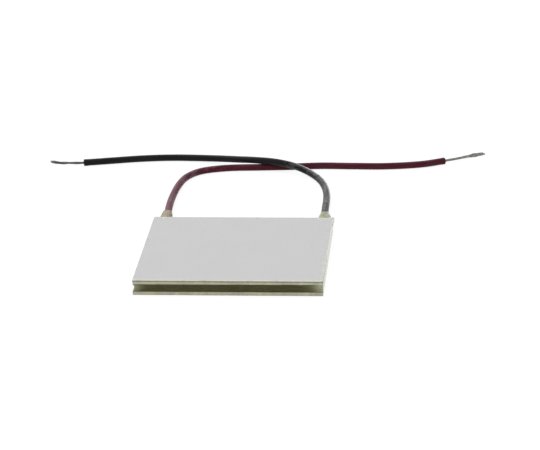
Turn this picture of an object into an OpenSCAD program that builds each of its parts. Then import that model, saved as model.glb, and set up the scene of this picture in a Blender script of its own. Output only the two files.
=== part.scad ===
// Square thermoelectric cooling module: two ceramic plates with a thermopile of
// semiconductor pellets soldered between them, sealed round the edge, with two leads.
// Millimetres. +Z up, +Y towards the leads, origin at the centre of the lower face.
// The lower plate is the hot side, which the leads are soldered to.

/* [Plates] */
// Side of each square ceramic plate
plate_w = 40; // [37:0.5:44]
// Thickness of each ceramic plate
plate_t = 0.8; // [0.6:0.05:0.8]
// Height over both plates
module_h = 3.3; // [3.2:0.1:4.2]

/* [Thermopile] */
// Places for a pellet along each side of the square grid
cells = 16; // [8:2:16]
// Width of the bare border between the grid and the plate's edge
border = 1.6; // [1.6:0.1:2]
// Side of each square pellet
pellet_w = 1.4; // [1:0.1:1.5]
// How far a copper tab stands out past its pellets
tab_rim = 0.1; // [0.05:0.05:0.1]
// Thickness of the copper tabs
tab_t = 0.3; // [0.2:0.05:0.35]
// Thickness of the solder between a pellet and a tab
solder_t = 0.1; // [0.05:0.05:0.1]

/* [Seal] */
// Distance from the plates' edge to the seal's face under the upper plate
seal_recess = 0.55; // [0.4:0.05:0.6]
// Distance from the plates' edge to the seal's foot on the lower plate
foot_recess = 0.05; // [0.05:0.05:0.4]
// Depth of the hollow in the seal's face
meniscus = 0.15; // [0.05:0.05:0.2]
// Free space between the copper tabs and the seal
seal_clearance = 0.2; // [0.1:0.05:0.2]

/* [Leads] */
// Outside diameter of the insulated lead
lead_d = 1.55; // [1.2:0.05:1.55]
// Diameter of the bundle of bare strands
strands_d = 0.75; // [0.5:0.05:0.8]
// How far each lead lies outside the middle of its pad
lead_shift = 0.5; // [0:0.05:0.5]
// Length of the silicone cone round the red lead, behind the plates
red_cone_l = 7; // [3:0.5:7]
// Length of the silicone cone round the black lead, behind the plates
black_cone_l = 6; // [3:0.5:6]
// Radius of the cones at the plates
cone_r = 1.3; // [1.1:0.05:1.4]

/* [Hidden] */

$fn = 48;
CERAMIC = "#c9c9c8";
COPPER = "#b87346";
SOLDER = "#a9abae";
N_PELLET = "#6b6d75";
P_PELLET = "#565a60";
SEAL = "#6e6947";
CREAM = "#b9b294";
RED = "#5a2833";
BLACK = "#232426";

edge = plate_w / 2;
gap_low = plate_t;
gap_high = module_h - plate_t;

// Grid of the thermopile
pitch = (plate_w - 2 * border) / cells;
tab_w = pellet_w + 2 * tab_rim;
tabs_edge = (cells - 1) * pitch / 2 + tab_w / 2;
pellet_low = gap_low + tab_t + solder_t;
pellet_high = gap_high - tab_t - solder_t;
// The two corner places at the back hold a lead instead of a pellet
pellet_count = cells * cells - 2;

// Seal: its inner face, and its outer face under the upper plate
seal_in = tabs_edge + seal_clearance;
seal_out = edge - seal_recess;

// Leads: the red one leaves on the left, the black one on the right
RED_SIDE = -1;
BLACK_SIDE = 1;
lead_r = lead_d / 2;
lead_x = (cells - 1) * pitch / 2 + lead_shift;
exit_z = module_h / 2;
exit_lift = exit_z - lead_r;
// The insulation starts just inside the seal, and the stripped end lies on the pad
insulation_y = seal_in + 0.05;
strip_l = 2.4;
joint_l = 1.9;
joint_r = 0.68;
joint_end_r = 0.45;
cone_end_wall = 0.05;
overlap = 0.5;

// Straight stretch of each lead through its cone, then the points of its route.
// A point is [x, y, lift], where lift is the height of its underside above the surface.
red_route = concat(straight_exit(RED_SIDE), [
    [-17.95, 30, 0.7], [-18.15, 33.8, 0.4], [-18.3, 38.5, 0.1], [-18.2, 43.5, 0],
    [-17.8, 49.2, 0], [-16.8, 54.8, 0], [-14.7, 58.9, 0], [-11.7, 61.2, 0],
    [-6.5, 62.7, 0], [0.5, 63.2, 0], [8, 63.75, 0], [15, 64.5, 0], [22.5, 64.3, 0],
    [30.5, 64.3, 0], [38.5, 65.8, 0], [44, 68.4, 0]]);
black_route = concat(straight_exit(BLACK_SIDE), [
    [17.7, 29.2, 0.75], [17.6, 33.2, 0.42], [17.55, 38, 0.1], [17.3, 43.5, 0],
    [16.5, 49, 0], [14.9, 54.3, 0.05], [12.1, 58.75, 0.35], [8.5, 61.3, 1],
    [4, 62.45, 1.6], [-0.5, 63.7, 1.6], [-4.8, 65.8, 1.1], [-9.8, 68.4, 0.45],
    [-15.5, 70.1, 0.05], [-22, 70.4, 0], [-29, 69.6, 0], [-35.9, 68, 0],
    [-42.3, 66.4, 0]]);
// The bare ends carry on from the insulation and droop to the surface
red_end = [
    [44, 68.4, 0.4], [45.2, 69.1, 0.4], [47.5, 71.1, 0.2], [51.15, 74, 0.05],
    [54, 75.6, 0]];
black_end = [
    [-42.3, 66.4, 0.4], [-43.5, 66.15, 0.4], [-46.2, 66.7, 0.2], [-48.4, 67.2, 0.05],
    [-51, 68.4, 0]];
rings_per_stretch = 2;
tube_sides = 8;

function cone_l(side) = side == RED_SIDE ? red_cone_l : black_cone_l;

function straight_exit(side) = [
    for (y = [insulation_y, edge + cone_l(side)]) [side * lead_x, y, exit_lift]];

// ---- Serpentine of the thermopile ----

// Column and row of pellet k along the series circuit, which starts at the red lead,
// runs down and up the columns and ends at the black lead
function place(k) =
    let (column = floor((k + 1) / cells), step = (k + 1) % cells)
    [column, column % 2 == 0 ? cells - 1 - step : step];

function centre(at) = [for (i = at) (i - (cells - 1) / 2) * pitch];

module pellet_block(w, low, high) {
    translate([-w / 2, -w / 2, low])
        cube([w, w, high - low]);
}

module pellets(first) {
    for (k = [first:2:pellet_count - 1])
        translate(centre(place(k)))
            pellet_block(pellet_w, pellet_low, pellet_high);
}

module solder_layer(low) {
    for (k = [0:pellet_count - 1])
        translate(centre(place(k)))
            pellet_block(pellet_w + tab_rim, low, low + solder_t);
}

// Copper tabs that join pellet k to pellet k + 1, for every other k
module tabs(first, low) {
    for (k = [first:2:pellet_count - 2]) {
        here = centre(place(k));
        next = centre(place(k + 1));
        size = [for (i = [0, 1]) abs(next[i] - here[i]) + tab_w];
        middle = (here + next) / 2;
        translate([middle[0] - size[0] / 2, middle[1] - size[1] / 2, low])
            cube([size[0], size[1], tab_t]);
    }
}

module hot_side_tabs() {
    color(COPPER)
        tabs(1, gap_low);
}

module cold_side_tabs() {
    color(COPPER)
        tabs(0, gap_high - tab_t);
}

module n_type_pellets() {
    color(N_PELLET)
        pellets(0);
}

module p_type_pellets() {
    color(P_PELLET)
        pellets(1);
}

module hot_side_solder() {
    color(SOLDER)
        solder_layer(gap_low + tab_t);
}

module cold_side_solder() {
    color(SOLDER)
        solder_layer(pellet_high);
}

// ---- Plates ----

module plate(low) {
    color(CERAMIC)
        translate([-edge, -edge, low])
            cube([plate_w, plate_w, plate_t]);
}

module hot_side_plate() {
    plate(0);
}

module cold_side_plate() {
    plate(gap_high);
}

// ---- Seal ----

// Section of the bead: hollow under the upper plate, with a foot on the lower one
module seal_section() {
    steps = 8;
    foot = seal_recess - foot_recess;
    face = [for (i = [0:steps])
        let (rise = i / steps)
        [seal_out + foot * pow(1 - rise, 4) - meniscus * sin(180 * rise),
            gap_low + (gap_high - gap_low) * rise]];
    polygon(concat([[seal_in, gap_high], [seal_in, gap_low]], face));
}

// Four straight beads, mitred where they meet at the corners
module seal_ring() {
    for (turn = [0:90:270])
        rotate(turn)
            intersection() {
                rotate([90, 0, 90])
                    linear_extrude(plate_w, center = true)
                        seal_section();
                linear_extrude(module_h)
                    polygon([[0, 0], [edge, edge], [-edge, edge]]);
            }
}

// Each lead runs through the bead in a bore, which also clears its soldered end
module perimeter_seal() {
    color(SEAL)
        difference() {
            seal_ring();
            for (side = [RED_SIDE, BLACK_SIDE])
                along_lead(side, insulation_y - strip_l)
                    cylinder(r = lead_r, h = edge - insulation_y + strip_l);
        }
}

// ---- Leads ----

// Turns a shape that stands on the origin to lie along a lead, from y backwards
module along_lead(side, y) {
    translate([side * lead_x, y, exit_z])
        rotate([-90, 0, 0])
            children();
}

// Pad under the lead and its end pellet
module lead_pad(side) {
    end_pellet = centre([side == RED_SIDE ? 0 : cells - 1, cells - 2]);
    color(COPPER)
        translate([end_pellet[0] - tab_w / 2, end_pellet[1] - tab_w / 2, gap_low])
            cube([tab_w, pitch + tab_w, tab_t]);
}

module lead_inner_end(side) {
    color(SOLDER)
        along_lead(side, insulation_y - strip_l)
            cylinder(d = strands_d, h = strip_l);
}

// Spindle of solder round the stripped end, flat where it meets the pad
module lead_solder_joint(side) {
    steps = 8;
    pad_top = gap_low + tab_t;
    bulge = [for (i = [0:steps]) [
        joint_end_r + (joint_r - joint_end_r) * sin(180 * i / steps), joint_l * i / steps]];
    color(SOLDER)
        intersection() {
            along_lead(side, insulation_y - strip_l + 0.2)
                difference() {
                    rotate_extrude()
                        polygon(concat([[0, 0]], bulge, [[0, joint_l]]));
                    translate([0, 0, -overlap])
                        cylinder(d = strands_d, h = joint_l + 2 * overlap);
                }
            translate([-edge, 0, pad_top])
                cube([plate_w, edge, gap_high - pad_top]);
        }
}

// Silicone that fills the gap round the lead and creeps out along it
module lead_exit_seal(side) {
    steps = 8;
    end_r = lead_r + cone_end_wall;
    length = cone_l(side);
    flank = [for (i = [0:steps]) [
        end_r + (cone_r - end_r) * pow(1 - i / steps, 1.5), length * i / steps]];
    color(CREAM)
        difference() {
            union() {
                along_lead(side, edge)
                    rotate_extrude()
                        polygon(concat([[0, 0]], flank, [[0, length]]));
                intersection() {
                    along_lead(side, seal_in + 0.5)
                        cylinder(r = cone_r, h = edge - seal_in - 0.5);
                    translate([-edge, 0, gap_low])
                        cube([plate_w, edge, gap_high - gap_low]);
                }
            }
            seal_ring();
            along_lead(side, seal_in)
                cylinder(r = lead_r, h = edge + length);
        }
}

// Smooth curve through the points, which never dips below the surface
function curve_point(route, i, t) =
    let (
        last = len(route) - 1,
        b = route[i],
        c = route[min(i + 1, last)],
        a = i == 0 ? 2 * b - c : route[i - 1],
        d = i + 2 > last ? 2 * c - b : route[i + 2],
        p = b + t * (c - a) / 2 + t * t * (a - 2.5 * b + 2 * c - d / 2)
            + t * t * t * (3 * (b - c) + d - a) / 2)
    [p[0], p[1], max(p[2], 0)];

function curve(route, rings) = [
    for (i = [0:len(route) - 2], j = [0:rings - 1]) curve_point(route, i, j / rings),
    route[len(route) - 1]];

function unit(v) = v / norm(v);

// One ring of the tube: square to the route, with a corner pointing down
function ring(line, i, r) =
    let (
        along = unit(line[min(i + 1, len(line) - 1)] - line[max(i - 1, 0)]),
        across = unit(cross(along, [0, 0, 1])),
        up = cross(across, along))
    [for (j = [0:tube_sides - 1])
        let (turn = 360 * j / tube_sides - 90)
        line[i] + [0, 0, r] + r * (cos(turn) * across + sin(turn) * up)];

// Closed tube swept along the route
module swept_tube(route, rings, r) {
    line = curve(route, rings);
    n = tube_sides;
    last = len(line) - 1;
    corners = [for (i = [0:last]) each ring(line, i, r)];
    sides = [for (i = [0:last - 1], j = [0:n - 1])
        let (k = (j + 1) % n)
        each [
            [i * n + j, (i + 1) * n + k, i * n + k],
            [i * n + j, (i + 1) * n + j, (i + 1) * n + k]]];
    caps = [
        [for (j = [0:n - 1]) j],
        [for (j = [n - 1:-1:0]) last * n + j]];
    polyhedron(points = corners, faces = concat(sides, caps));
}

module red_lead() {
    color(RED)
        swept_tube(red_route, rings_per_stretch, lead_r);
}

module black_lead() {
    color(BLACK)
        swept_tube(black_route, rings_per_stretch, lead_r);
}

module red_lead_bare_end() {
    color(SOLDER)
        swept_tube(red_end, 1, strands_d / 2);
}

module black_lead_bare_end() {
    color(SOLDER)
        swept_tube(black_end, 1, strands_d / 2);
}

module red_lead_pad() {
    lead_pad(RED_SIDE);
}

module black_lead_pad() {
    lead_pad(BLACK_SIDE);
}

module red_lead_inner_end() {
    lead_inner_end(RED_SIDE);
}

module black_lead_inner_end() {
    lead_inner_end(BLACK_SIDE);
}

module red_lead_solder_joint() {
    lead_solder_joint(RED_SIDE);
}

module black_lead_solder_joint() {
    lead_solder_joint(BLACK_SIDE);
}

module red_lead_exit_seal() {
    lead_exit_seal(RED_SIDE);
}

module black_lead_exit_seal() {
    lead_exit_seal(BLACK_SIDE);
}

hot_side_plate();
cold_side_plate();
hot_side_tabs();
cold_side_tabs();
red_lead_pad();
black_lead_pad();
n_type_pellets();
p_type_pellets();
hot_side_solder();
cold_side_solder();
perimeter_seal();
red_lead();
black_lead();
red_lead_bare_end();
black_lead_bare_end();
red_lead_inner_end();
black_lead_inner_end();
red_lead_solder_joint();
black_lead_solder_joint();
red_lead_exit_seal();
black_lead_exit_seal();
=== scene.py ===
"""Looks of a sealed thermoelectric cooling module with two loose leads.

Everything is in metres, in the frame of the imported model: the module lies flat on z = 0,
its leads leave the back edge (+y) and lie on the same surface. Colours are linear red, green
and blue. A share runs from 0 at the start of a thing to 1 at its end.
"""
import math
import random

import bmesh
import bpy
from mathutils import Matrix, Vector, noise


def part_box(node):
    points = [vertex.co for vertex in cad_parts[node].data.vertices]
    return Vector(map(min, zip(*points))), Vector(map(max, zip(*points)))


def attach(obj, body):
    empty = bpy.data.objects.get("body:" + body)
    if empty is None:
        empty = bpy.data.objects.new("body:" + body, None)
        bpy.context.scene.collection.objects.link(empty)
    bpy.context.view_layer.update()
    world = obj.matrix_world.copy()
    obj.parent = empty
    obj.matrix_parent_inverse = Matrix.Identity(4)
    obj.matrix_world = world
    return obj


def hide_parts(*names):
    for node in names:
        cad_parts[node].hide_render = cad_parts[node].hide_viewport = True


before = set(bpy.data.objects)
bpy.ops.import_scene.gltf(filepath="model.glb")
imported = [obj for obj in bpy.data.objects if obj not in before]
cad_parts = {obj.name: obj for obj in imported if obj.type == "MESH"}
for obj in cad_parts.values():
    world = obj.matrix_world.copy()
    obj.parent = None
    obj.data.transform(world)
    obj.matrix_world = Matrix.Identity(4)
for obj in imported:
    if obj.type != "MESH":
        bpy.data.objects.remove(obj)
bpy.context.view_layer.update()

MM = 0.001

# ------------------------ places, from the frame
hot_low, hot_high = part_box("hot_side_plate")
cold_low, cold_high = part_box("cold_side_plate")
seal_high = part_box("perimeter_seal")[1]

HALF = cold_high.x
BASE = hot_low.z
GAP_FLOOR = hot_high.z
GAP_ROOF = cold_low.z
GAP = GAP_ROOF - GAP_FLOOR
TOP = cold_high.z
SEAL_FOOT = HALF - seal_high.x


# ------------------------ camera
CAMERA_TARGET = Vector((5.583, 24.210, 0)) * MM
CAMERA_DISTANCE = 581.68 * MM
CAMERA_YAW = math.radians(4.706)
CAMERA_ELEVATION = math.radians(19.497)
CAMERA_ROLL = math.radians(-1.310)
CAMERA_LENS = 172.6
CAMERA_SENSOR = 36
CAMERA_CLIP = (0.01, 20)


def make_camera():
    """A long lens from the front, a little to the right and above."""
    level = math.cos(CAMERA_ELEVATION)
    back = Vector((math.sin(CAMERA_YAW) * level, -math.cos(CAMERA_YAW) * level, math.sin(CAMERA_ELEVATION)))
    right = Vector((math.cos(CAMERA_YAW), math.sin(CAMERA_YAW), 0))
    up = right.cross(-back)
    rolled_right = right * math.cos(CAMERA_ROLL) + up * math.sin(CAMERA_ROLL)
    rolled_up = up * math.cos(CAMERA_ROLL) - right * math.sin(CAMERA_ROLL)
    lens = bpy.data.cameras.new("camera")
    lens.lens = CAMERA_LENS
    lens.sensor_width = CAMERA_SENSOR
    lens.clip_start, lens.clip_end = CAMERA_CLIP
    camera = bpy.data.objects.new("camera", lens)
    turn = Matrix((rolled_right, rolled_up, back)).transposed().to_4x4()
    camera.matrix_world = Matrix.Translation(CAMERA_TARGET + back * CAMERA_DISTANCE) @ turn
    bpy.context.collection.objects.link(camera)
    bpy.context.scene.camera = camera


# ------------------------ node helpers
def new_material(name):
    """A node tree without nodes, and the new material it belongs to."""
    material = bpy.data.materials.new(name)
    material.use_nodes = True
    material.node_tree.nodes.clear()
    return material.node_tree, material


def feed(tree, socket, value):
    """Sets a socket, or links it where the value is another node's output."""
    if isinstance(value, bpy.types.NodeSocket):
        tree.links.new(value, socket)
    else:
        socket.default_value = value


def rgba(value):
    """A colour or a grey value with its alpha. Another node's output stays as it is."""
    if isinstance(value, bpy.types.NodeSocket):
        return value
    return (*value, 1) if hasattr(value, "__len__") else (value, value, value, 1)


def node(tree, kind, inputs=None, **settings):
    """A new node with its settings and inputs, each input a value or another node's output."""
    made = tree.nodes.new("ShaderNode" + kind)
    for name, value in settings.items():
        setattr(made, name, value)
    for name, value in (inputs or {}).items():
        feed(tree, made.inputs[name], value)
    return made


def place(tree, scale=(1, 1, 1)):
    """Points of the object in metres, times scale."""
    coordinates = node(tree, "TexCoord").outputs["Object"]
    return node(tree, "Mapping", {"Vector": coordinates, "Scale": scale}).outputs["Vector"]


def along_lead(tree, scale):
    """Points on a lead's skin: metres from the exit and turns round it, times scale."""
    skin = node(tree, "UVMap", uv_map="skin").outputs["UV"]
    return node(tree, "Mapping", {"Vector": skin, "Scale": scale}).outputs["Vector"]


def cloud(tree, vector, size, detail=3.0, roughness=0.55, distortion=0.0):
    """Noise with features of about that size, from 0 to 1."""
    inputs = {"Vector": vector, "Scale": 1 / size, "Detail": detail, "Roughness": roughness,
              "Distortion": distortion}
    return node(tree, "TexNoise", inputs).outputs["Fac"]


def lead_cloud(tree, length, around, **settings):
    """Noise on a lead's skin, with features of about that length, and so many of them round it."""
    return cloud(tree, along_lead(tree, (1 / length, around, 1)), 1.0, **settings)


def ramp(tree, factor, stops):
    """Colours or grey values between (place, colour) stops."""
    made = node(tree, "ValToRGB", {"Fac": factor})
    elements = made.color_ramp.elements
    while len(elements) < len(stops):
        elements.new(0.5)
    for element, (position, colour) in zip(elements, stops):
        element.position = position
        element.color = rgba(colour)
    return made.outputs["Color"]


def mixed(tree, factor, first, second, how="MIX"):
    """Two colours or grey values mixed by the factor."""
    made = tree.nodes.new("ShaderNodeMix")
    made.data_type = "RGBA"
    made.blend_type = how
    feed(tree, made.inputs[0], factor)
    feed(tree, made.inputs[6], rgba(first))
    feed(tree, made.inputs[7], rgba(second))
    return made.outputs[2]


def maths(tree, operation, first, second):
    """One arithmetic step on two values, kept between 0 and 1."""
    made = node(tree, "Math", operation=operation)
    made.use_clamp = True
    feed(tree, made.inputs[0], first)
    feed(tree, made.inputs[1], second)
    return made.outputs[0]


def product(tree, *factors):
    """Factors multiplied together."""
    result = factors[0]
    for factor in factors[1:]:
        result = maths(tree, "MULTIPLY", result, factor)
    return result


def attribute(tree, name):
    """A value that the mesh keeps for each of its points."""
    return node(tree, "Attribute", attribute_name=name).outputs["Fac"]


def seen_plainly(tree):
    """1 where the camera, a reflection or a see-through surface looks, and 0 for light on the object."""
    light = node(tree, "LightPath").outputs
    seen = maths(tree, "MAXIMUM", light["Is Camera Ray"], light["Is Glossy Ray"])
    return maths(tree, "MAXIMUM", seen, light["Is Transmission Ray"])


def bumps(tree, *layers, strength=1.0):
    """A normal bent by (height, depth in metres) layers, one upon another."""
    normal = None
    for height, depth in layers:
        inputs = {"Height": height, "Distance": depth, "Strength": strength}
        if normal:
            inputs["Normal"] = normal
        normal = node(tree, "Bump", inputs).outputs["Normal"]
    return normal


def shade(tree, colour, roughness, normal, **fixed):
    """The Principled shader on the output. Fixed values are set on its own sockets."""
    inputs = {"Base Color": colour, "Roughness": roughness, "Normal": normal}
    inputs.update({name.replace("_", " "): value for name, value in fixed.items()})
    surface = node(tree, "BsdfPrincipled", inputs)
    tree.links.new(surface.outputs["BSDF"], node(tree, "OutputMaterial").inputs["Surface"])
    return surface


# ------------------------ ceramic and silicone
# Where sealant was wiped over the right side, the surface is smooth and glossy, and a little paler as a
# painted reflection.
WIPED_ROUGH = 0.12
WIPED_REFLECTION_TONE = (0.64, 0.64, 0.60)
FILM_ROUGH = 0.13
LUMP_ROUGH = 0.5
# Light goes a little way into a thick dab of silicone, red the furthest.
SILICONE_DEPTHS = (0.4 * MM, 0.35 * MM, 0.25 * MM)


def rim_highlight_and_shade(tree):
    """The rim of a plate's face: a cream painted highlight where the mesh says, elsewhere a grey painted
    shade line with darker spots.
    """
    rim_mottle = cloud(tree, place(tree), 1.3 * MM, detail=4, roughness=0.7)
    cream = ramp(tree, rim_mottle, [(0.38, (0.52, 0.52, 0.38)), (0.5, (0.72, 0.72, 0.56))])
    grey = ramp(tree, rim_mottle, [(0.32, (0.30, 0.30, 0.29)), (0.40, (0.49, 0.49, 0.48)),
                             (0.6, (0.57, 0.57, 0.56))])
    return mixed(tree, attribute(tree, "cream"), grey, cream)


def snapped_edge(tree, lay):
    """The broken part of a plate's edge: cream along the lay of the break, browner in places."""
    snapped = ramp(tree, lay, [(0.3, (0.53, 0.52, 0.37)), (0.7, (0.66, 0.65, 0.48))])
    tinge = cloud(tree, place(tree, (1, 1, 0.3)), 5 * MM, detail=3)
    return mixed(tree, ramp(tree, tinge, [(0.46, 0.0), (0.58, 0.65)]), snapped, (0.46, 0.42, 0.37))


def ceramic(name, tone, band_darkening):
    """Sintered alumina: fine grain, faint mottling, grey specks, a darker band on the scribed part of the
    edge, a rim with a painted highlight and a painted shade line.
    """
    tree, material = new_material(name)
    wiped = attribute(tree, "wiped")
    mottle = cloud(tree, place(tree), 6 * MM, detail=4)
    grain = cloud(tree, place(tree), 0.08 * MM, detail=2)
    lay = cloud(tree, place(tree, (1, 1, 0.2)), 0.9 * MM, detail=4)
    specks = node(tree, "TexVoronoi", {"Vector": place(tree), "Scale": 1 / (2.2 * MM)}).outputs["Distance"]
    face = ramp(tree, mottle, [(0.3, [0.975 * part for part in tone]), (0.7, tone)])
    face = mixed(tree, 0.5, face, ramp(tree, grain, [(0.3, 0.93), (0.7, 1.0)]), "MULTIPLY")
    face = mixed(tree, ramp(tree, specks, [(0.03, 0.35), (0.055, 0.0)]), face, (0.30, 0.30, 0.27))
    # A darker band on the scribed part of the edge, where the mesh says.
    banded_tone = ramp(tree, lay, [(0.3, (0.24, 0.24, 0.16)), (0.7, (0.34, 0.34, 0.25))])
    colour = mixed(tree, attribute(tree, "edge"), face, snapped_edge(tree, lay))
    band_strength = mixed(tree, 1.0, attribute(tree, "dark_band"), band_darkening, "MULTIPLY")
    colour = mixed(tree, band_strength, colour, banded_tone)
    # Darker olive on the edge next to the gap.
    colour = mixed(tree, attribute(tree, "gap_edge_dark"), colour, (0.13, 0.125, 0.065))
    # The rim: a painted highlight in cream along the front, a painted shade line in grey elsewhere.
    colour = mixed(tree, attribute(tree, "rim"), colour, rim_highlight_and_shade(tree))
    # A painted reflection: the wiped right side a little paler.
    colour = mixed(tree, wiped, colour, WIPED_REFLECTION_TONE)
    rough = ramp(tree, cloud(tree, place(tree), 0.5 * MM), [(0.3, 0.42), (0.7, 0.56)])
    rough = mixed(tree, wiped, rough, WIPED_ROUGH)
    uneven = maths(tree, "SUBTRACT", 1.0, wiped)
    normal = bumps(tree, (grain, 0.004 * MM), (lay, 0.003 * MM), strength=uneven)
    shade(tree, colour, rough, normal, IOR=1.45)
    return material


def sealant():
    """Olive silicone bead between the plates: soft level streaks, with painted light towards the corners and
    along the right side.
    """
    tree, material = new_material("seal_silicone")
    wiped = attribute(tree, "wiped")
    streak = cloud(tree, place(tree, (1, 1, 9)), 2.4 * MM, detail=4, distortion=0.3)
    patch = cloud(tree, place(tree), 3.5 * MM, detail=3)
    dark = ramp(tree, streak, [(0.3, (0.044, 0.040, 0.003)), (0.7, (0.088, 0.083, 0.016))])
    dark = mixed(tree, ramp(tree, patch, [(0.45, 0.0), (0.75, 0.4)]), dark, (0.105, 0.092, 0.042))
    pale = ramp(tree, streak, [(0.3, (0.36, 0.37, 0.19)), (0.7, (0.50, 0.51, 0.33))])
    # Painted light: paler towards the corners, where light comes in from two sides, and along the right side.
    colour = mixed(tree, attribute(tree, "painted_light"), dark, pale)
    colour = mixed(tree, attribute(tree, "wetting"), colour, (0.17, 0.155, 0.115))
    colour = mixed(tree, attribute(tree, "lip"), colour, (0.56, 0.55, 0.42))
    rough = mixed(tree, wiped, ramp(tree, patch, [(0.3, 0.15), (0.7, 0.28)]), WIPED_ROUGH)
    normal = bumps(tree, (streak, 0.008 * MM), strength=maths(tree, "SUBTRACT", 1.0, wiped))
    shade(tree, colour, rough, normal, IOR=1.33)
    return material


def exit_silicone(name, deep, pale, glow, flank, thin):
    """Silicone at a lead's exit: blotched, translucent, other tones on its flanks and where it thins."""
    tree, material = new_material(name)
    blotch = cloud(tree, place(tree), 0.8 * MM, detail=4, distortion=0.6)
    fleck = cloud(tree, place(tree), 0.35 * MM, detail=2)
    colour = ramp(tree, blotch, [(0.36, deep), (0.5, pale), (0.62, pale), (0.7, glow)])
    colour = mixed(tree, ramp(tree, fleck, [(0.6, 0.0), (0.75, 0.45)]), colour, deep)
    colour = mixed(tree, attribute(tree, "flank"), colour, flank)
    colour = mixed(tree, attribute(tree, "thin"), colour, thin)
    rough = ramp(tree, fleck, [(0.3, 0.36), (0.7, 0.55)])
    shade(tree, colour, rough, bumps(tree, (blotch, 0.05 * MM), (fleck, 0.02 * MM)), IOR=1.41,
          Subsurface_Weight=0.15, Subsurface_Radius=SILICONE_DEPTHS, Subsurface_Scale=1.0)
    return material


def smeared_film():
    """A thin wiped film of silicone: streaked along the edge, see-through, with painted light where it thins
    that makes up for the shadow it casts.
    """
    tree, material = new_material("silicone_film")
    lump = attribute(tree, "lump")
    blotch = cloud(tree, place(tree, (1, 0.4, 1)), 1.1 * MM, detail=3, distortion=0.4)
    wipe = cloud(tree, place(tree, (1, 0.10, 1)), 0.5 * MM, detail=3)
    streaks = product(tree, ramp(tree, blotch, [(0.35, 0.4), (0.65, 1.0)]),
                      ramp(tree, wipe, [(0.38, 0.5), (0.6, 1.0)]))
    alpha = mixed(tree, 1.0, attribute(tree, "body"), streaks, "MULTIPLY")
    colour = ramp(tree, wipe, [(0.32, (0.52, 0.53, 0.45)), (0.5, (0.59, 0.60, 0.50)),
                               (0.68, (0.70, 0.70, 0.58))])
    colour = mixed(tree, lump, colour, (0.42, 0.43, 0.35))
    # Painted light: whiter where the film is thin, to make up for the shadow it casts on what lies under it.
    colour = mixed(tree, ramp(tree, alpha, [(0.3, 1.0), (0.95, 0.0)]), colour, (0.95, 0.95, 0.88))
    rough = mixed(tree, lump, FILM_ROUGH, LUMP_ROUGH)
    surface = shade(tree, colour, rough, bumps(tree, (blotch, 0.004 * MM)), IOR=1.41)
    tree.links.new(alpha, surface.inputs["Alpha"])
    return material


# ------------------------ vinyl
# Along a lead, the (place, strength) stops count in shares of this length.
SKIN_SPAN = 110 * MM
# Where the skin is flecked with the painted sheen, between the module and the crossing.
FLECKED = [(0.26, 0.0), (0.31, 0.5), (0.40, 0.5), (0.47, 0.0)]
# Each vinyl has its colours, a lighter base and the stops of its painted sheen near the module, the stops of
# its painted highlight line, how much sheen stays between its patches, and where the highlight line lies: how
# many turns round the skin, and how far it drifts.
RED_VINYL = {
    "deep": (0.046, 0.004, 0.011), "lit": (0.092, 0.008, 0.020), "sheened_base": (0.11, 0.013, 0.028),
    "painted_sheen": (0.165, 0.085, 0.100), "glint": (0.29, 0.17, 0.19),
    "sheen_stops": [(0.0, 0.75), (0.22, 0.6), (0.34, 0.25), (0.45, 0.10)],
    "sheen_left": 0.05,
    "highlight_stops": [(0.0, 0.15), (0.20, 0.5), (0.42, 0.8), (0.52, 0.3), (0.62, 0.05)],
    "highlight_turn": 0.55, "highlight_drift": -0.17,
}
BLACK_VINYL = {
    "deep": (0.004, 0.004, 0.004), "lit": (0.010, 0.010, 0.010), "sheened_base": (0.035, 0.035, 0.037),
    "painted_sheen": (0.132, 0.132, 0.137), "glint": (0.56, 0.56, 0.57),
    "sheen_stops": [(0.0, 0.95), (0.25, 0.85), (0.30, 0.30), (0.36, 0.06), (0.44, 0.0)],
    "sheen_left": 0.12,
    "highlight_stops": [(0.0, 0.0), (0.15, 0.25), (0.26, 1.0), (0.385, 1.0), (0.43, 0.05)],
    "highlight_turn": 0.48, "highlight_drift": 0.20,
}


def outside_of_bend(tree, skin, centre, drift):
    """1 along the painted highlight's line on the outside of the bend, which drifts round the skin as it
    leaves the exit.
    """
    drifted = ramp(tree, skin["X"], [(0.12, abs(drift)), (0.38, 0.0)])
    turn = maths(tree, "ADD" if drift > 0 else "SUBTRACT", skin["Y"], drifted)
    stops = [(centre - 0.10, 0.0), (centre - 0.03, 1.0), (centre + 0.02, 1.0), (centre + 0.07, 0.0)]
    return ramp(tree, turn, stops)


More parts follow.
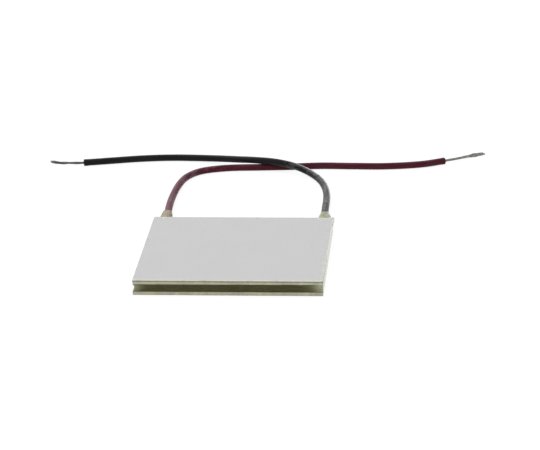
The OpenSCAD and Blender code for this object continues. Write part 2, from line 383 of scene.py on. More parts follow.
def insulation(name, deep, lit, sheened_base, painted_sheen, glint, sheen_stops, sheen_left, highlight_stops, highlight_turn, highlight_drift):
    """Extruded vinyl: drawn streaks, a painted sheen near the module, a painted highlight line on the outside
    of the bend.
    """
    tree, material = new_material(name)
    streak = lead_cloud(tree, 9 * MM, 7, detail=3)
    line = lead_cloud(tree, 5 * MM, 9, detail=2)
    patch = lead_cloud(tree, 3.2 * MM, 3, detail=4, roughness=0.65)
    nick_and_dash = lead_cloud(tree, 2.0 * MM, 5, detail=3, roughness=0.7)
    skin = node(tree, "SeparateXYZ", {"Vector": along_lead(tree, (1 / SKIN_SPAN, 1, 1))}).outputs
    sheen_near = ramp(tree, skin["X"], sheen_stops)
    colour = ramp(tree, streak, [(0.35, deep), (0.65, lit)])
    # A lighter base near the module: part of the painted sheen.
    colour = mixed(tree, sheen_near, colour, sheened_base)
    lines = ramp(tree, line, [(0.43, 0.08), (0.55, 1.0)])
    patches = ramp(tree, patch, [(0.46, sheen_left), (0.52, 1.0)])
    flecks = product(tree, ramp(tree, skin["X"], FLECKED), ramp(tree, patch, [(0.50, 0.0), (0.56, 1.0)]))
    # The painted sheen: streaked and patchy near the module, in flecks towards the crossing.
    sheen_mask = maths(tree, "MAXIMUM", product(tree, sheen_near, lines, patches), flecks)
    colour = mixed(tree, sheen_mask, colour, painted_sheen)
    # A painted highlight: a dashed light line along the outside of the bend, where the skin's upper edge is.
    outside = outside_of_bend(tree, skin, highlight_turn, highlight_drift)
    glint_dashes = ramp(tree, nick_and_dash, [(0.40, 0.3), (0.52, 1.0)])
    painted_highlight = product(tree, ramp(tree, skin["X"], highlight_stops), outside, glint_dashes)
    colour = mixed(tree, painted_highlight, colour, glint)
    rough = ramp(tree, streak, [(0.3, 0.34), (0.7, 0.5)])
    normal = bumps(tree, (streak, 0.03 * MM), (line, 0.02 * MM), (nick_and_dash, 0.012 * MM))
    shade(tree, colour, rough, normal, IOR=1.22)
    return material


# ------------------------ metal, crystal and the table
FLOOR_WHITE = (0.85, 0.85, 0.85, 1)
FLOOR_GLOW = 1.12
FLOOR_GLOW_SHARE = 0.78


def metal(name, deep, lit, size, rough=(0.28, 0.5), stretch=(1, 1, 1)):
    """A plated or cast metal: clouded, with fine grain."""
    tree, material = new_material(name)
    patch = cloud(tree, place(tree, stretch), size, detail=5)
    grain = cloud(tree, place(tree), size / 9, detail=2)
    colour = ramp(tree, patch, [(0.3, deep), (0.7, lit)])
    roughness = ramp(tree, grain, [(0.3, rough[0]), (0.7, rough[1])])
    shade(tree, colour, roughness, bumps(tree, (patch, size / 60), (grain, size / 200)), Metallic=1.0)
    return material


def crystal(name, deep, lit):
    """Sintered telluride: layered crystals, longer up and down, that glint along one direction."""
    tree, material = new_material(name)
    tall = (1, 1, 0.25)
    cells = node(tree, "TexVoronoi", {"Vector": place(tree, tall), "Scale": 1 / (0.22 * MM)}).outputs["Color"]
    layers = cloud(tree, place(tree, tall), 0.12 * MM, detail=4)
    colour = mixed(tree, 0.5, ramp(tree, layers, [(0.3, deep), (0.7, lit)]),
                   ramp(tree, cells, [(0.1, deep), (0.9, lit)]))
    rough = ramp(tree, cells, [(0.1, 0.22), (0.9, 0.5)])
    shade(tree, colour, rough, bumps(tree, (layers, 0.01 * MM)), Metallic=0.85)
    return material


def floor_material():
    """A white table: it keeps the shadow, and its white is the background."""
    tree, material = new_material("floor")
    matt = node(tree, "BsdfDiffuse", {"Color": FLOOR_WHITE})
    glow = node(tree, "Emission", {"Color": (1, 1, 1, 1), "Strength": FLOOR_GLOW})
    both = node(tree, "MixShader", {"Fac": maths(tree, "MULTIPLY", seen_plainly(tree), FLOOR_GLOW_SHARE)})
    tree.links.new(matt.outputs[0], both.inputs[1])
    tree.links.new(glow.outputs[0], both.inputs[2])
    tree.links.new(both.outputs[0], node(tree, "OutputMaterial").inputs["Surface"])
    return material


# ------------------------ mesh helpers
def smooth(t):
    """An eased step from 0 to 1."""
    t = min(1.0, max(0.0, t))
    return t * t * (3 - 2 * t)


def bell(offset, width):
    """1 in the middle, falling to nothing about two widths away."""
    return math.exp(-(offset / width) ** 2)


def waves(x, y=0.0, z=0.0):
    """Smooth noise about 0, from -1 to 1."""
    return noise.noise(Vector((x, y, z)))


def piece(name, points, faces, material, replaces=(), marks=None):
    """A smooth mesh object on the module, standing for CAD nodes, with values kept for its points."""
    mesh = bpy.data.meshes.new(name)
    mesh.from_pydata(points, [], faces)
    shape = bmesh.new()
    shape.from_mesh(mesh)
    bmesh.ops.recalc_face_normals(shape, faces=shape.faces)
    shape.to_mesh(mesh)
    shape.free()
    for title, values in (marks or {}).items():
        mesh.attributes.new(title, "FLOAT", "POINT").data.foreach_set("value", values)
    mesh.polygons.foreach_set("use_smooth", [True] * len(mesh.polygons))
    mesh.materials.append(material)
    made = bpy.data.objects.new(name, mesh)
    bpy.context.collection.objects.link(made)
    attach(made, "root")
    if replaces:
        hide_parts(*replaces)
    return made


def band(first, second, count):
    """Quads between two rings of count points, which start at those indices."""
    around = [(i, (i + 1) % count) for i in range(count)]
    return [(first + i, first + j, second + j, second + i) for i, j in around]


def tube_faces(rings, sides, closed=False):
    """Quads along a run of rings; a run that isn't closed gets an end face at each end."""
    faces = []
    for k in range(rings if closed else rings - 1):
        faces += band(k * sides, (k + 1) % rings * sides, sides)
    if not closed:
        faces.append(tuple(range(sides))[::-1])
        faces.append(tuple((rings - 1) * sides + i for i in range(sides)))
    return faces


def rim_stations(straight, arc):
    """Places round the edge: (side, share of the side from -1 to 1, angle round its far corner)."""
    stations = []
    for side in range(4):
        stations += [(side, 2 * i / straight - 1, 0.0) for i in range(straight)]
        stations += [(side, 1.0, math.pi / 2 * i / arc) for i in range(arc)]
    return stations


def rim_point(station, inset, radius):
    """The point of a place on the edge, moved in by inset. Corners keep their radius."""
    side, share, angle = station
    flat = HALF - inset - radius
    x, y = flat + radius * math.cos(angle), share * flat + radius * math.sin(angle)
    for _ in range(side):
        x, y = -y, x
    return x, y


def from_corner(station):
    """How far a place on the edge is from the nearest corner."""
    return (1 - abs(station[1])) * HALF


def leftness(x):
    """1 at the left edge, eased to 0 at the right one."""
    return smooth(0.5 - x / (2 * HALF))


def on_right(x):
    """1 along the right side, where sealant was wiped over the edges and left them smooth."""
    return smooth((x / HALF - 0.985) / 0.014)


def wiped_at(x, y):
    """How smooth and glossy the side is: all along the right, but for the front corner."""
    return on_right(x) * smooth((y + HALF) / (1.5 * MM))


def rim_highlight_at(x, y):
    """How much the rim takes the cream painted highlight, not the grey painted shade line: along the front,
    and less on the right side's front third.
    """
    front = smooth((-y / HALF - 0.93) / 0.04)
    return max(front, 0.6 * on_right(x) * smooth(-y / (8 * MM) - 1.0))


# ------------------------ ceramic plates
PLATE_CORNER = 0.06 * MM
POINTS_PER_SIDE = 640
CORNER_POINTS = 4
POINT_GAP = 2 * HALF / POINTS_PER_SIDE
# Shares of the edge's height, from the inner face to the outer one. A row of scribed pits goes from
# SCRIBE_FROM to the outer face, and the face's rim, with its painted highlight and painted shade line, turns
# down over the edge as far as RIM_FROM.
EDGE_SHARES = (0, 0.03, 0.10, 0.16, 0.28, 0.42, 0.50, 0.56, 0.64, 0.74, 0.81, 0.86, 0.90, 0.96, 1)
SCRIBE_FROM = 0.52
RIM_FROM = 0.885
POINTS_PER_PIT = 4
PIT_DEPTH = 0.035 * MM
PIT_FLOOR = 0.01 * MM
SNAP_DEPTH = 0.022 * MM
SNAP_FLOOR = 0.012 * MM
CHIP_DEPTH = 0.04 * MM
EDGE_ROUNDING = 0.03 * MM
CORNER_WEAR = 0.03 * MM
WIPED_SMOOTHING = 0.92
# Rings that close a face: how far in each lies, in millimetres, and how much of the rim's tint it has.
FACE_RINGS = ((0.12, 0.8), (0.32, 0.45), (0.75, 0.15), (1.6, 0.0), (3.3, 0.0), (6.6, 0.0))


def plate_inset(index, share, corner, seed, x):
    """How far the edge lies inside the plate's outline, at a share of its height."""
    run = index * POINT_GAP
    chips = CHIP_DEPTH * max(0.0, waves(run / (1.6 * MM), seed, 3 * share))
    snapped = SNAP_FLOOR + SNAP_DEPTH * (waves(run / (0.5 * MM), seed + 5, 2.5 * share) + 0.5)
    pit = 0.5 + 0.5 * math.cos(2 * math.pi * index / POINTS_PER_PIT)
    pitted = PIT_FLOOR + PIT_DEPTH * pit * (0.6 + 0.4 * share)
    blend = smooth((share - SCRIBE_FROM) / 0.06)
    rounding = EDGE_ROUNDING * (1 - smooth(min(share, 1 - share) / 0.05))
    worn = CORNER_WEAR * smooth(1 - corner / (0.4 * MM)) * (0.5 + waves(run / MM, seed + 9))
    calm = 1 - WIPED_SMOOTHING * on_right(x)
    return (snapped * (1 - blend) + pitted * blend + chips) * calm + rounding + worn


def gap_edge_darkness(point, share, foot):
    """How dark and olive the edge is next to the gap: foot says how far that reaches, as a share of the
    height.
    """
    uneven = 0.5 * waves(point[0] / (3 * MM), point[1] / (3 * MM), 4.0)
    reach = foot * (0.45 + 0.75 * leftness(point[0]) + uneven)
    return 0.9 * (1 - smooth((share - reach + 0.04) / 0.08))


def ceramic_plate(name, replaced, inner_z, outer_z, material, seed, foot=0.0):
    """A plate with flat faces and an edge that was laser scribed from outside and snapped."""
    stations = rim_stations(POINTS_PER_SIDE - CORNER_POINTS, CORNER_POINTS)
    count = len(stations)
    points, faces = [], []
    marks = {"edge": [], "dark_band": [], "rim": [], "gap_edge_dark": [], "wiped": []}
    for share in EDGE_SHARES:
        z = inner_z + (outer_z - inner_z) * share
        for index, station in enumerate(stations):
            x, y = rim_point(station, 0.0, PLATE_CORNER)
            inset = plate_inset(index, share, from_corner(station), seed, x)
            points.append((*rim_point(station, inset, PLATE_CORNER), z))
            marks["gap_edge_dark"].append(gap_edge_darkness(points[-1], share, foot) if foot else 0.0)
            marks["wiped"].append(wiped_at(x, y))
        marks["edge"] += [1.0] * count
        # The darker band: from SCRIBE_FROM up to the rim.
        marks["dark_band"] += [float(SCRIBE_FROM <= share < RIM_FROM)] * count
        marks["rim"] += [float(share >= RIM_FROM)] * count
    rings = len(EDGE_SHARES)
    for k in range(rings - 1):
        faces += band(k * count, (k + 1) * count, count)
    marks["rim"] += plate_face(points, faces, stations, 0, inner_z)
    marks["rim"] += plate_face(points, faces, stations, (rings - 1) * count, outer_z)
    for values in marks.values():
        values += [0.0] * (len(points) - len(values))
    # Where the rim takes the cream painted highlight, not the grey painted shade line.
    marks["cream"] = [rim_highlight_at(x, y) for x, y, _ in points]
    made = piece(name, points, faces, material, [replaced], marks)
    for polygon in made.data.polygons:
        polygon.use_smooth = abs(polygon.normal.z) < 0.9
    return made


def plate_face(points, faces, stations, rim_start, z):
    """Closes one face with rings of half the points each time. Returns their share of the rim's tint."""
    start, count = rim_start, len(stations)
    tints = []
    for inset, tint in FACE_RINGS:
        step = len(stations) * 2 // count
        count //= 2
        first = len(points)
        points += [(*rim_point(stations[i * step], inset * MM, PLATE_CORNER), z) for i in range(count)]
        tints += [tint] * count
        for i in range(count):
            a, b, c = start + 2 * i, start + 2 * i + 1, start + (2 * i + 2) % (2 * count)
            d, e = first + i, first + (i + 1) % count
            faces += [(a, b, d), (b, e, d), (b, c, e)]
        start = first
    faces.append(tuple(range(start, start + count)))
    return tints


# ------------------------ perimeter seal
SEAL_RECESS = 0.5 * MM
SEAL_MENISCUS = 0.15 * MM
SEAL_INNER = 1.75 * MM
SEAL_CORNER = 0.25 * MM
SEAL_STRAIGHT_POINTS = 196
SEAL_ARC_POINTS = 6
# Shares of the gap's height, closer where the lip lies.
SEAL_SHARES = (0, 0.03, 0.08, 0.15, 0.25, 0.37, 0.5, 0.62, 0.74, 0.84, 0.89, 0.92, 0.94, 0.96, 0.98, 1)
# How far inside the plates' edge: the bead where it comes nearest, its lip, and the wiped right side.
BEAD_INSET = 0.03 * MM
LIP_INSET = 0.05 * MM
WIPED_INSET = 0.012 * MM
# For each corner: how strong the painted light on the seal is, how far along that reaches, and how far the
# bead fills out.
SEAL_CORNERS = {
    (-1, -1): (0.75, 1.15 * MM, 0.66 * MM),
    (1, -1): (1.15, 1.45 * MM, 0.35 * MM),
    (1, 1): (1.0, 3.0 * MM, 0.50 * MM),
    (-1, 1): (0.9, 2.0 * MM, 0.35 * MM),
}


def seal_corner(x, y):
    """The row of SEAL_CORNERS for the nearest corner."""
    return SEAL_CORNERS[(1 if x > 0 else -1, 1 if y > 0 else -1)]


def seal_lip(x, y, share):
    """1 on the lip that creeps down from the top plate's edge, furthest at the left."""
    height = 0.015 + 0.05 * leftness(x) + 0.03 * waves(x / (3 * MM), y / (3 * MM), 11.0)
    return smooth((share - 1 + height + 0.02) / 0.03)


def seal_inset(x, y, corner, share):
    """How far the bead's face lies inside the plates' edge, at a share of the gap's height."""
    recess = SEAL_RECESS * (1 - (1 - share) ** 4) + SEAL_MENISCUS * math.sin(math.pi * share)
    recess *= 1 - 0.8 * on_right(x)
    calm = 1 - 0.85 * on_right(x)
    hand = 0.09 * MM * waves(x / (5 * MM), y / (5 * MM), 1.0) * calm
    hand += 0.045 * MM * waves(x / (1.3 * MM), y / (1.3 * MM), 2 + share) * calm
    ripple = 0.03 * MM * waves(x / (6 * MM), y / (6 * MM), 9 * share) * calm
    filled = seal_corner(x, y)[2] * bell(corner, 1.2 * MM) * share
    inset = max(BEAD_INSET, SEAL_FOOT + recess - filled + (hand + ripple) * (0.35 + 0.65 * share))
    inset += (WIPED_INSET - inset) * wiped_at(x, y)
    return inset + (LIP_INSET - inset) * seal_lip(x, y, share)


def seal_tones(x, y, corner, share):
    """Painted light towards a corner and along the right side, wetting just under the top plate, and the lip
    on its edge.
    """
    strength, reach, _ = seal_corner(x, y)
    low = 1 - 0.35 * (1 - share)
    pale = min(1.0, strength * low * math.exp(-(corner / reach) ** 1.3))
    # Along the right side, a painted reflection of the bright grazing light on the wiped seal.
    pale = max(pale, 0.45 * on_right(x))
    left = 0.35 + 0.65 * smooth(-x / (20 * MM)) * smooth(-y / (10 * MM))
    ragged = 0.6 + 0.8 * waves(x / (2.5 * MM), y / (2.5 * MM), 5.0)
    wetting = left * max(0.0, ragged) * smooth((share - 0.62) / 0.25) * (1 - pale)
    return pale, min(1.0, 0.8 * wetting), seal_lip(x, y, share)


def perimeter_sealant(material):
    """The hand-laid bead between the plates: thin at the roof, spreading to a foot on the lower plate."""
    stations = rim_stations(SEAL_STRAIGHT_POINTS, SEAL_ARC_POINTS)
    points, tones = [], []
    for station in stations:
        corner = from_corner(station)
        x, y = rim_point(station, 0.0, SEAL_CORNER)
        for share in SEAL_SHARES:
            inset = seal_inset(x, y, corner, share)
            points.append((*rim_point(station, inset, SEAL_CORNER), GAP_FLOOR + GAP * share))
            tones.append((*seal_tones(x, y, corner, share), wiped_at(x, y)))
        for z in (GAP_ROOF, GAP_FLOOR):
            points.append((*rim_point(station, SEAL_INNER, SEAL_CORNER), z))
            tones.append((0.0, 0.0, 0.0, 0.0))
    faces = tube_faces(len(stations), len(SEAL_SHARES) + 2, closed=True)
    marks = dict(zip(("painted_light", "wetting", "lip", "wiped"), zip(*tones)))
    return piece("perimeter_sealant", points, faces, material, ["perimeter_seal"], marks)


# ------------------------ leads
# The route's radius, the skin's own, and how far the skin swells near the module and at its cut end.
LEAD_R = 0.775 * MM
SKIN_R = 0.80 * MM
SWELLING = 0.04 * MM
SWOLLEN_RUN = 42 * MM
LEAD_SIDES = 20
LEAD_STEPS = 14
# The cut end, from the skin round the rim and back into the bore: (radius, distance ahead of the end).
BORE_R = 0.42 * MM
CUT_RINGS = [
    (SKIN_R, 0.10 * MM), (SKIN_R - 0.07 * MM, 0.22 * MM), (SKIN_R - 0.22 * MM, 0.30 * MM),
    (BORE_R, 0.28 * MM), (BORE_R, -1 * MM),
]
STRAND_BUNDLE_R = 0.375 * MM
STRAND_STEPS = 22
STRAND_SIDES = 10
STRAND_LAY = 14 * MM
STRANDS = 7

# Each point is (x, y, lift of the underside), in millimetres, from the seal outwards.
RED_ROUTE = [
    (-17.75, 18.3, 0.875), (-17.75, 27, 0.875), (-17.95, 30, 0.7), (-18.15, 33.8, 0.4), (-18.3, 38.5, 0.1),
    (-18.2, 43.5, 0), (-17.8, 49.2, 0), (-16.8, 54.8, 0), (-14.7, 58.9, 0), (-11.7, 61.2, 0), (-6.5, 62.7, 0),
    (0.5, 63.2, 0), (8, 63.75, 0), (15, 64.5, 0), (22.5, 64.3, 0), (30.5, 64.3, 0), (38.5, 65.8, 0),
    (44, 68.4, 0),
]
BLACK_ROUTE = [
    (17.75, 18.3, 0.875), (17.75, 26, 0.875), (17.7, 29.2, 0.75), (17.6, 33.2, 0.42), (17.55, 38, 0.1),
    (17.3, 43.5, 0), (16.5, 49, 0), (14.9, 54.3, 0.05), (12.1, 58.75, 0.35), (8.5, 61.3, 1), (4, 62.45, 1.6),
    (-0.5, 63.7, 1.6), (-4.8, 65.8, 1.1), (-9.8, 68.4, 0.45), (-15.5, 70.1, 0.05), (-22, 70.4, 0),
    (-29, 69.6, 0), (-35.9, 68, 0), (-42.3, 66.4, 0),
]
RED_END = [(44, 68.4, 0.4), (45.2, 69.1, 0.4), (47.5, 71.1, 0.2), (51.15, 74, 0.05), (54, 75.6, 0)]
BLACK_END = [(-42.3, 66.4, 0.4), (-43.5, 66.15, 0.4), (-46.2, 66.7, 0.2), (-48.4, 67.2, 0.05), (-51, 68.4, 0)]


def curve_point(a, b, c, d, t):
    """A point between b and c on the smooth curve through a, b, c and d."""
    return (b + (c - a) * (t / 2) + (a - b * 2.5 + c * 2 - d * 0.5) * t ** 2
            + ((b - c) * 3 + d - a) * (t ** 3 / 2))


def centreline(route, radius, steps):
    """The smooth line of centres through a route, never lower than a tube lying on the floor."""
    knots = [Vector((x, y, lift)) * MM + Vector((0, 0, radius)) for x, y, lift in route]
    knots = [knots[0] * 2 - knots[1], *knots, knots[-1] * 2 - knots[-2]]
    line = []
    for i in range(1, len(knots) - 2):
        line += [curve_point(*knots[i - 1:i + 3], step / steps) for step in range(steps)]
    line.append(knots[-2])
    for point in line:
        point.z = max(point.z, radius)
    return line


def run_lengths(line):
    """How far along the line each point is."""
    runs = [0.0]
    for a, b in zip(line, line[1:]):
        runs.append(runs[-1] + (b - a).length)
    return runs


def axes_at(line, i):
    """Tangent, side and up at a point of a line that lies roughly level."""
    tangent = (line[min(i + 1, len(line) - 1)] - line[max(i - 1, 0)]).normalized()
    side = tangent.cross(Vector((0, 0, 1))).normalized()
    return tangent, side, side.cross(tangent)


def skin_point(centre, axes, angle, radius, run, length, ahead, seed):
    """A point of the insulation: swollen near the module and at the cut, never below the floor."""
    tangent, side, up = axes
    if radius > BORE_R:
        radius += 0.012 * MM * waves(run / (2.5 * MM), math.cos(angle) + seed, math.sin(angle))
        radius += SWELLING * (1 - smooth(run / SWOLLEN_RUN) + smooth(1 - (length - run) / MM))
    if run == length:
        ahead += 0.06 * MM * waves(3 * math.cos(angle), 3 * math.sin(angle), seed)
    point = centre + (side * math.cos(angle) + up * math.sin(angle)) * radius + tangent * ahead
    point.z = max(point.z, 0.0)
    return point


def insulation_tube(tone, route, material, seed):
    """The insulation of one lead: a drawn tube, a little uneven, with its cut end open round the strands."""
    line = centreline(route, LEAD_R, LEAD_STEPS)
    runs = run_lengths(line)
    last = len(line) - 1
    rings = [(i, SKIN_R, 0.0) for i in range(len(line))]
    rings += [(last, radius, ahead) for radius, ahead in CUT_RINGS]
    points, skin = [], []
    for i, radius, ahead in rings:
        axes = axes_at(line, i)
        for k in range(LEAD_SIDES):
            angle = 2 * math.pi * k / LEAD_SIDES - math.pi / 2
            points.append(skin_point(line[i], axes, angle, radius, runs[i], runs[-1], ahead, seed))
            skin.append((runs[i], k / LEAD_SIDES))
    name = tone + "_insulation"
    made = piece(name, points, tube_faces(len(rings), LEAD_SIDES), material, [tone + "_lead"])
    write_skin(made.data, skin)
    return made, line, runs[-1]


def write_skin(mesh, skin):
    """The map that a lead's material follows: how far along, and how far round."""
    layer = mesh.uv_layers.new(name="skin")
    for polygon in mesh.polygons:
        spots = [skin[mesh.loops[i].vertex_index] for i in polygon.loop_indices]
        wraps = max(around for _, around in spots) > 0.9 and min(around for _, around in spots) < 0.1
        for i, (along, around) in zip(polygon.loop_indices, spots):
            layer.data[i].uv = (along, around + 1 if wraps and around < 0.1 else around)


def strand_bundle(tone, route, material, strand_r, spread, seed):
    """Tinned strands, six twisted round one, opened by spread(share) along the way."""
    line = centreline(route, STRAND_BUNDLE_R, STRAND_STEPS)
    runs = run_lengths(line)
    draw = random.Random(seed)
    points, faces = [], []
    for strand in range(STRANDS):
        in_middle = strand == STRANDS - 1
        phase = strand * math.pi / 3
        loose = 1 + 0.22 * draw.uniform(-1, 1)
        kept = len(line) - draw.randint(0, 4)
        first = len(points)
        for i in range(kept):
            share = runs[i] / runs[-1]
            _, side, up = axes_at(line, i)
            radius = 0 if in_middle else strand_r * (2.0 + spread(share) * loose)
            turn = phase + 2 * math.pi * runs[i] / STRAND_LAY + 0.5 * waves(3 * share, strand, seed)
            wander = Vector((waves(5 * share, strand, seed), waves(5 * share, strand, seed + 7), 0))
            spoke = side * math.cos(turn) + up * math.sin(turn)
            middle = line[i] + spoke * radius + 0.05 * MM * wander * smooth(share * 4)
            middle.z = max(middle.z, strand_r)
            tip = 0.75 if i == kept - 1 else 1.0
            for k in range(STRAND_SIDES):
                angle = 2 * math.pi * k / STRAND_SIDES
                spoke = side * math.cos(angle) + up * math.sin(angle)
                points.append(middle + spoke * strand_r * tip)
        faces += [tuple(first + v for v in face) for face in tube_faces(kept, STRAND_SIDES)]
    return piece(tone + "_strands", points, faces, material, [tone + "_lead_bare_end"])


def red_spread(share):
    """The red strands open past the middle and close again at the tip."""
    return 0.05 + 2.0 * bell(share - 0.78, 0.14)


def black_spread(share):
    """The black strands loop open twice and are fuller at the tip."""
    loops = bell(share - 0.22, 0.07) + bell(share - 0.58, 0.08)
    return 0.05 + 0.7 * loops + 0.9 * bell(share - 0.87, 0.10)


# For each lead: its route, its bare end's, a strand's radius, how the strands open, and its seed.
LEADS = {
    "red": (RED_ROUTE, RED_END, 0.100 * MM, red_spread, 11),
    "black": (BLACK_ROUTE, BLACK_END, 0.092 * MM, black_spread, 23),
}


def make_leads(skins, wires):
    """Both leads, each with its bare end. Returns their centre lines."""
    lines = {}
    for tone, (route, end, strand_r, spread, seed) in LEADS.items():
        tube, line, length = insulation_tube(tone, route, skins[tone], seed)
        strands = strand_bundle(tone, end, wires[tone], strand_r, spread, seed)
        lines[tone] = line
    return lines


# ------------------------ silicone dabs at the exits
DAB_SIDES = 48
DAB_STEPS = 60
# How far inside the plates' edge a dab starts, half its width there, and the length of its last slope.
DAB_ROOT = 1.4 * MM
DAB_ROOT_HALF = 2.0 * MM
DAB_SHOULDER = 3.6 * MM
# For each lead's dab: the y where it ends and its swelling, at the left, top and right, in millimetres,
# and its seed.
DABS = {
    "red": ((30.2, 27.1, 27.9), (0.40, 0.25, 0.35), 4.0),
    "black": ((28.1, 26.3, 28.2), (0.28, 0.20, 0.60), 15.0),
}


def around_dab(values, across, above):
    """A length for one direction round a dab, from its values at the left, top and right."""
    left, top, right = values
    beside = left + (right - left) * (across + 1) / 2
    over = max(0.0, above) ** 1.5
    return (beside * (1 - over) + top * over) * MM


def dab_end(ends, across, above, seed):
    """Where a dab ends on its lead, raggedly, in one direction round it."""
    ragged = 0.40 * waves(2.5 * across, 2.5 * above, seed + 6)
    ragged += 0.25 * waves(7 * across, 7 * above, seed + 8)
    return around_dab(ends, across, above) + ragged * MM


def dab_reach(y, end, swell, ahead):
    """Half the width and height of a dab at y: it fills the gap's height, then swells over its lead."""
    if y < HALF:
        return DAB_ROOT_HALF, GAP / 2 - 0.01 * MM
    shoulder = 1 - smooth((y - end + DAB_SHOULDER) / DAB_SHOULDER)
    grown = 0.55 * MM * math.exp(-(y - HALF) / (2.6 * MM))
    tip = SKIN_R + SWELLING + 0.02 * MM * (1 - ahead)
    return tip + swell * shoulder + grown, tip + swell * shoulder + 0.5 * grown


def dab_lumps(y, end, across, above, seed):
    """How far the dab's skin stands out or in: nothing inside the plates, nor where it ends."""
    if y < HALF:
        return 0.0
    lumps = 0.10 * MM * waves(2.1 * across, 2.1 * above, seed + y / (1.1 * MM))
    lumps += 0.05 * MM * waves(5 * across, 5 * above, seed + y / (0.5 * MM))
    return lumps * smooth((end - y) / (1.2 * MM))


def exit_dab(tone, line, material):
    """A hand-set dab of silicone where a lead leaves the seal, spreading on the plates' back faces."""
    ends, swells, seed = DABS[tone]
    replaced = tone + "_lead_exit_seal"
    low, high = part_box(replaced)
    x = (low.x + high.x) / 2
    start = HALF - DAB_ROOT
    middle = (GAP_FLOOR + GAP_ROOF) / 2
    points, marks = [], {"flank": [], "thin": []}
    for j in range(DAB_STEPS + 1):
        for k in range(DAB_SIDES):
            angle = 2 * math.pi * k / DAB_SIDES
            across, above = math.cos(angle), math.sin(angle)
            end = dab_end(ends, across, above, seed)
            y = start + (end - start) * j / DAB_STEPS
            reach_x, reach_z = dab_reach(y, end, around_dab(swells, across, above), j / DAB_STEPS)
            lumps = dab_lumps(y, end, across, above, seed)
            bend = lead_shift(line, y)
            px = x + bend.x + across * (reach_x + lumps)
            pz = middle + bend.y + above * (reach_z + lumps)
            points.append((px, y, min(max(pz, 0.02 * MM), TOP - 0.06 * MM)))
            marks["flank"].append(smooth((abs(across + 0.2 * waves(y / MM, seed)) - 0.50) / 0.2))
            marks["thin"].append(0.9 * (1 - smooth((end - y) / ((1.2 - 0.7 * across) * MM))))
    faces = tube_faces(DAB_STEPS + 1, DAB_SIDES)
    return piece(tone + "_exit_silicone", points, faces, material, [replaced], marks)


def lead_shift(line, y):
    """How far a lead has moved sideways and up from its exit by the time it reaches y."""
    for a, b in zip(line, line[1:]):
        if a.y <= y < b.y:
            spot = a.lerp(b, (y - a.y) / (b.y - a.y))
            return Vector((spot.x - line[0].x, spot.z - line[0].z))
    return Vector((0, 0))


# ------------------------ silicone films on the top plate
FILM_THICKNESS = 0.012 * MM
# How high a film may stand on the top face, and the width over which it turns down the side.
FILM_RISE = 0.06 * MM
FILM_TURN = 0.3 * MM
SMEAR_ACROSS = 48
SMEAR_STEPS = 14
SMEAR_DROP = 0.6 * MM
EDGE_FILM_ACROSS = 240
EDGE_FILM_STEPS = 20
# For each lick of silicone on the back edge: x of its middle, half its width, its depth, and its seed.
SMEARS = {
    "red_exit_smear": (RED_ROUTE[0][0] * MM + 0.35 * MM, 1.7 * MM, 1.1 * MM, 5.0),
    "black_exit_smear": (BLACK_ROUTE[0][0] * MM + 0.30 * MM, 1.8 * MM, 1.9 * MM, 8.0),
    "corner_smear": (-HALF + 0.75 * MM, 0.55 * MM, 0.9 * MM, 12.0),
}


def over_rim(inset, lift):
    """Outward distance and height of a film's point: inset from the rim, negative down the side."""
    turn = smooth(0.5 - inset / FILM_TURN) * math.pi / 2
    outward = -max(inset, 0.0) + lift * math.sin(turn)
    return outward, TOP + min(inset, 0.0) + min(lift, FILM_RISE) * math.cos(turn)


def film_sheet(name, points, body, lump, across, steps, material):
    """A grid of points as a thin closed skin of silicone."""
    faces = []
    for i in range(across):
        for j in range(steps):
            a = i * (steps + 1) + j
            faces.append((a, a + 1, a + steps + 2, a + steps + 1))
    made = piece(name, points, faces, material, marks={"body": body, "lump": lump})
    if made.data.polygons[len(faces) // 2 + 1].normal.z < 0:
        made.data.flip_normals()
    skin = made.modifiers.new("skin", "SOLIDIFY")
    skin.thickness = FILM_THICKNESS
    skin.offset = -1
    return made


def exit_smear(name, material):
    """A thin lick of silicone pulled over the top plate's back edge."""
    x, half_width, depth, seed = SMEARS[name]
    points, body = [], []
    for i in range(SMEAR_ACROSS + 1):
        u = 2 * i / SMEAR_ACROSS - 1
        ragged = 1 + 0.5 * waves(2.5 * u, seed) + 0.25 * waves(8 * u, seed + 3)
        inner = depth * math.sqrt(max(0.0, 1 - u * u)) * ragged
        for j in range(SMEAR_STEPS + 1):
            v = j / SMEAR_STEPS
            inset = inner - (inner + SMEAR_DROP) * v
            full = math.sin(math.pi * (0.04 + 0.92 * v)) * math.sqrt(max(0.0, 1 - u ** 4))
            lift = 0.05 * MM * full * (1 + 0.6 * waves(6 * u, 4 * v, seed)) - 0.003 * MM
            outward, z = over_rim(inset, lift)
            points.append((x + u * half_width, HALF + outward, z))
            body.append((0.55 + 0.45 * full) * smooth(v / 0.25))
    lump = [0.0] * len(points)
    return film_sheet(name, points, body, lump, SMEAR_ACROSS, SMEAR_STEPS, material)


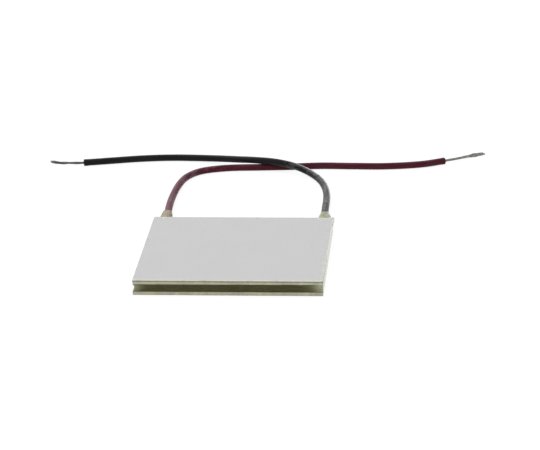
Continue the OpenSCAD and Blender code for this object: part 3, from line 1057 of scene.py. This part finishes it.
def edge_film(material):
    """The film wiped along the right edge: a blob at the back corner, and streaks on the front half."""
    points, body, lump = [], [], []
    for i in range(EDGE_FILM_ACROSS + 1):
        share = i / EDGE_FILM_ACROSS
        y = HALF + 0.05 * MM - share * (2 * HALF + 0.08 * MM)
        rag = waves(y / (2.2 * MM), 3.1) + 0.4 * waves(y / (0.8 * MM), 7.7)
        at_back = bell(HALF - y, 1.5 * MM)
        at_front = smooth((share - 0.50) / 0.22)
        inner = MM * (0.03 + 0.9 * at_back + at_front * (0.80 + 0.30 * rag))
        drop = MM * (0.35 + 1.75 * at_back + 0.75 * at_front + 0.15 * rag)
        proud = MM * (0.02 + 0.25 * at_back + 0.05 * at_front * (1 + rag))
        thin = 0.10 + 1.6 * at_back + 0.65 * at_front
        for j in range(EDGE_FILM_STEPS + 1):
            v = j / EDGE_FILM_STEPS
            inset = max(0.03 * MM, inner) * (1 - v) - drop * v
            full = math.sin(math.pi * (0.03 + 0.94 * v))
            at_rim = bell(inset, 0.45 * MM) + at_back * bell(inset + 0.8 * MM, 0.7 * MM)
            lift = 0.02 * MM * full + proud * min(1.0, at_rim) * smooth(-inset / (0.2 * MM) + 0.6)
            outward, z = over_rim(inset, lift - 0.004 * MM)
            points.append((HALF + outward, y, z))
            cover = min(1.9, thin * (0.7 + 0.3 * full) + 0.3 * at_rim * at_front)
            body.append(cover * smooth(v / 0.15))
            lump.append(at_back * smooth(-inset / (0.15 * MM) + 0.5))
    return film_sheet("edge_film", points, body, lump, EDGE_FILM_ACROSS, EDGE_FILM_STEPS, material)


# ------------------------ sealed parts
def finish_inner_nodes():
    """Materials for the CAD nodes inside the seal, which stay as they are."""
    plated = metal("tinned_copper", (0.42, 0.19, 0.11), (0.62, 0.31, 0.19), 0.7 * MM)
    wetted = metal("solder_metal", (0.36, 0.36, 0.35), (0.56, 0.56, 0.54), 0.4 * MM, rough=(0.2, 0.42))
    n_type = crystal("n_telluride", (0.16, 0.16, 0.17), (0.38, 0.38, 0.40))
    p_type = crystal("p_telluride", (0.20, 0.19, 0.18), (0.45, 0.43, 0.41))
    drawn = metal("inner_strand", (0.30, 0.30, 0.29), (0.52, 0.52, 0.50), 0.3 * MM, stretch=(1, 0.15, 1))
    finishes = {
        "hot_side_tabs": plated, "cold_side_tabs": plated, "red_lead_pad": plated, "black_lead_pad": plated,
        "n_type_pellets": n_type, "p_type_pellets": p_type,
        "hot_side_solder": wetted, "cold_side_solder": wetted,
        "red_lead_solder_joint": wetted, "black_lead_solder_joint": wetted,
        "red_lead_inner_end": drawn, "black_lead_inner_end": drawn,
    }
    for name, finish in finishes.items():
        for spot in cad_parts[name].material_slots:
            spot.material = finish


# ------------------------ floor and light
FLOOR_REACH = 3.0
FLOOR_DROP = 0.02 * MM
WORLD_LIGHT = 0.66
KEY_STRENGTH = 1.3
KEY_SPREAD = math.radians(75)
KEY_TILT = (math.radians(-28), math.radians(-24), 0)


def make_floor():
    """A white table top, a hair under the object so that their faces don't share a plane."""
    mesh = bpy.data.meshes.new("floor")
    corners = [(x * FLOOR_REACH, y * FLOOR_REACH, 0) for x, y in ((-1, -1), (1, -1), (1, 1), (-1, 1))]
    mesh.from_pydata(corners, [], [(0, 1, 2, 3)])
    mesh.materials.append(floor_material())
    floor = bpy.data.objects.new("floor", mesh)
    floor.location.z = -FLOOR_DROP
    bpy.context.collection.objects.link(floor)


def make_light():
    """Even light from all round and a wide soft key from the upper left, behind."""
    world = bpy.data.worlds.new("studio")
    bpy.context.scene.world = world
    world.use_nodes = True
    tree = world.node_tree
    tree.nodes.clear()
    strength = ramp(tree, seen_plainly(tree), [(0.0, WORLD_LIGHT), (1.0, 1.0)])
    background = node(tree, "Background", {"Color": (1, 1, 1, 1), "Strength": strength})
    tree.links.new(background.outputs[0], node(tree, "OutputWorld").inputs["Surface"])
    key = bpy.data.lights.new("key", "SUN")
    key.energy = KEY_STRENGTH
    key.angle = KEY_SPREAD
    lamp = bpy.data.objects.new("key", key)
    lamp.rotation_euler = KEY_TILT
    bpy.context.collection.objects.link(lamp)


# ------------------------ the scene
bpy.context.scene.view_settings.view_transform = "Standard"
make_camera()
vinyls = {"red": insulation("red_vinyl", **RED_VINYL), "black": insulation("black_vinyl", **BLACK_VINYL)}
wires = {
    "red": metal("tinned_wire", (0.18, 0.18, 0.165), (0.33, 0.33, 0.305), 0.7 * MM, rough=(0.4, 0.6)),
    "black": metal("dulled_wire", (0.045, 0.045, 0.04), (0.21, 0.21, 0.195), 0.9 * MM, rough=(0.3, 0.5)),
}
lead_lines = make_leads(vinyls, wires)

hot_alumina = ceramic("hot_alumina", (0.545, 0.545, 0.54), band_darkening=0.08)
ceramic_plate("hot_side_ceramic", "hot_side_plate", GAP_FLOOR, BASE, hot_alumina, 2.0,
              foot=0.10)
cold_alumina = ceramic("cold_alumina", (0.545, 0.545, 0.545), band_darkening=1.0)
ceramic_plate("cold_side_ceramic", "cold_side_plate", GAP_ROOF, TOP, cold_alumina, 31.0)
perimeter_sealant(sealant())

tan_silicone = exit_silicone(
    "tan_silicone", deep=(0.20, 0.185, 0.105), pale=(0.34, 0.275, 0.165), glow=(0.55, 0.48, 0.34),
    flank=(0.20, 0.20, 0.12), thin=(0.20, 0.13, 0.12))
green_silicone = exit_silicone(
    "green_silicone", deep=(0.16, 0.175, 0.09), pale=(0.33, 0.355, 0.205), glow=(0.46, 0.485, 0.31),
    flank=(0.42, 0.43, 0.33), thin=(0.24, 0.25, 0.17))
film = smeared_film()
exit_dab("red", lead_lines["red"], tan_silicone)
exit_dab("black", lead_lines["black"], green_silicone)
for smear in SMEARS:
    exit_smear(smear, film)
edge_film(film)

finish_inner_nodes()
make_floor()
make_light()
